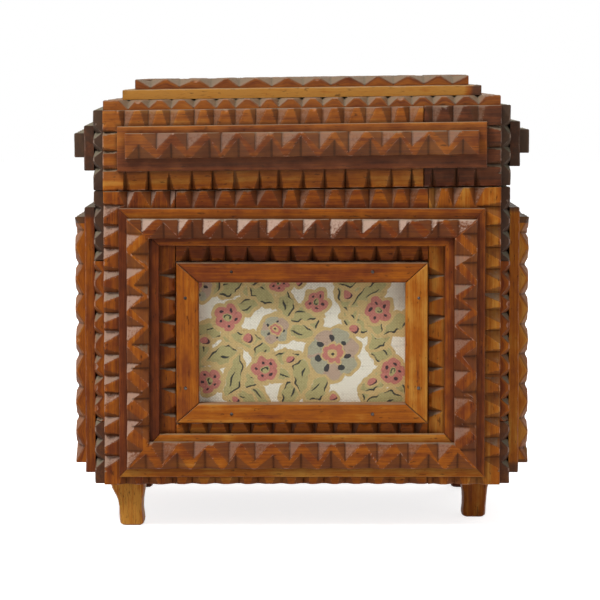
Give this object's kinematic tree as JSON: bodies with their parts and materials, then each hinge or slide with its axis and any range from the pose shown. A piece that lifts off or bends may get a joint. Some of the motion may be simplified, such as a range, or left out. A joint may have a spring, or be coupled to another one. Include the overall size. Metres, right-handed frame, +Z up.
{
  "type": "tramp art box",
  "caption": "Hinged wooden box clad in notched, layered strips, with framed cloth panels in its walls and four whittled feet.",
  "frame": {"origin": "on the ground, under the middle of the box", "axes": "+X to the right seen from the front, +Y to the back, +Z up; the front faces -Y"},
  "size_m": [0.2286, 0.1906, 0.2263],
  "materials": {
    "red_brown_wood": "old varnish, worn pale on the carved edges",
    "amber_wood": "varnished orange-brown softwood",
    "dark_wood": "dark varnish",
    "weathered_wood": "dusty grey-brown old varnish",
    "golden_oak": "clear varnish, open dark grain",
    "carcass_wood": "bare cigar box wood",
    "printed_cloth": "coarse plain weave with a printed flower pattern",
    "brad_steel": "dark oxidised steel",
    "hinge_brass": "tarnished brass"
  },
  "bodies": {
    "box": {"back_base_strips": "red_brown_wood", "back_board": "carcass_wood", "back_plain_strips": "red_brown_wood", "back_raised_strips": "red_brown_wood", "bottom_board": "carcass_wood", "front_board": "carcass_wood", "front_bottom_rail": "red_brown_wood", "front_brads": "brad_steel", "front_cloth": "printed_cloth", "front_frame_bottom_rail": "amber_wood", "front_frame_left_rail": "amber_wood", "front_frame_right_rail": "amber_wood", "front_frame_top_rail": "amber_wood", "front_left_foot": "golden_oak", "front_left_stile": "red_brown_wood", "front_plain_strips": "red_brown_wood", "front_raised_strips": "red_brown_wood", "front_right_foot": "dark_wood", "front_right_stile": "red_brown_wood", "front_top_rail": "red_brown_wood", "hinge_body_leaves": "hinge_brass", "hinge_body_screws": "brad_steel", "hinge_pins": "brad_steel", "left_base_strips": "weathered_wood", "left_board": "carcass_wood", "left_brads": "brad_steel", "left_cloth": "printed_cloth", "left_frame_rails": "amber_wood", "left_plain_strips": "red_brown_wood", "left_raised_strips": "red_brown_wood", "rear_left_foot": "dark_wood", "rear_right_foot": "dark_wood", "right_base_strips": "weathered_wood", "right_board": "carcass_wood", "right_brads": "brad_steel", "right_cloth": "printed_cloth", "right_frame_rails": "amber_wood", "right_plain_strips": "red_brown_wood", "right_raised_strips": "red_brown_wood"},
    "lid": {"hinge_lid_leaves": "hinge_brass", "hinge_lid_screws": "brad_steel", "lid_back_base_strip": "red_brown_wood", "lid_back_board": "carcass_wood", "lid_back_plain_strip": "red_brown_wood", "lid_back_raised_strip": "red_brown_wood", "lid_front_base_end": "dark_wood", "lid_front_base_strip": "red_brown_wood", "lid_front_board": "carcass_wood", "lid_front_plain_strip": "red_brown_wood", "lid_front_raised_strip": "red_brown_wood", "lid_left_board": "carcass_wood", "lid_right_board": "carcass_wood", "lid_side_base_strips": "weathered_wood", "lid_side_plain_strips": "weathered_wood", "lid_side_raised_strips": "weathered_wood", "lid_top_base_strips": "red_brown_wood", "lid_top_board": "carcass_wood", "lid_top_plain_strips": "amber_wood", "lid_top_raised_strips": "red_brown_wood"}
  },
  "joints": [
    {"name": "lid_hinge", "type": "hinge", "parent": "box", "child": "lid", "pos_m": [0, 0.0877, 0.17065], "axis": [-1, 0, 0], "range_deg": [0, 105]}
  ]
}
